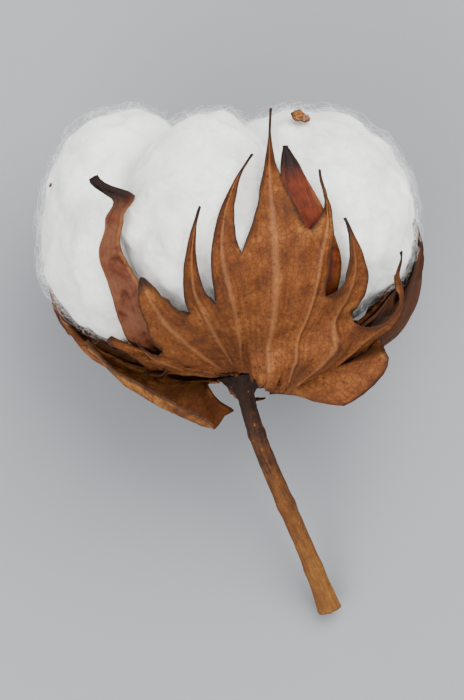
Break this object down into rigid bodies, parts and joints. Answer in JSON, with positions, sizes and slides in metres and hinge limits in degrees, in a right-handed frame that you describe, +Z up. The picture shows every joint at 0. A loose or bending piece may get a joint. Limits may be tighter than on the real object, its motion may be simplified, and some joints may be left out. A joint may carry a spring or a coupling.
{
  "type": "cotton boll",
  "caption": "Open cotton boll as picked: fluffy white lint in a split dry capsule, with toothed leafy bracts and a short stalk, lying on its side.",
  "frame": {"origin": "middle of the box's underside, on the surface that the boll lies on", "axes": "+Z up from that surface; +Y along the box's longest side, from the stalk's cut end to the top of the lint; +X to the right as the boll is seen from above with its stalk end nearest"},
  "size_m": [0.0708, 0.0912, 0.0662],
  "materials": {
    "lint": "soft matte white fibre",
    "capsule": "dry, smooth and woody, satin",
    "bract": "dry papery leaf with veins and dark specks",
    "bark": "dry ribbed bark, matte"
  },
  "bodies": {
    "root": {"lock_1": "lint", "lock_2": "lint", "lock_3": "lint", "lock_4": "lint", "lock_5": "lint", "valve_1": "capsule", "valve_2": "capsule", "valve_3": "capsule", "valve_4": "capsule", "valve_5": "capsule", "calyx": "bract", "bract_front": "bract", "bract_left": "bract", "bract_right": "bract", "stalk": "bark", "leaf_crumb": "bract"}
  },
  "joints": []
}
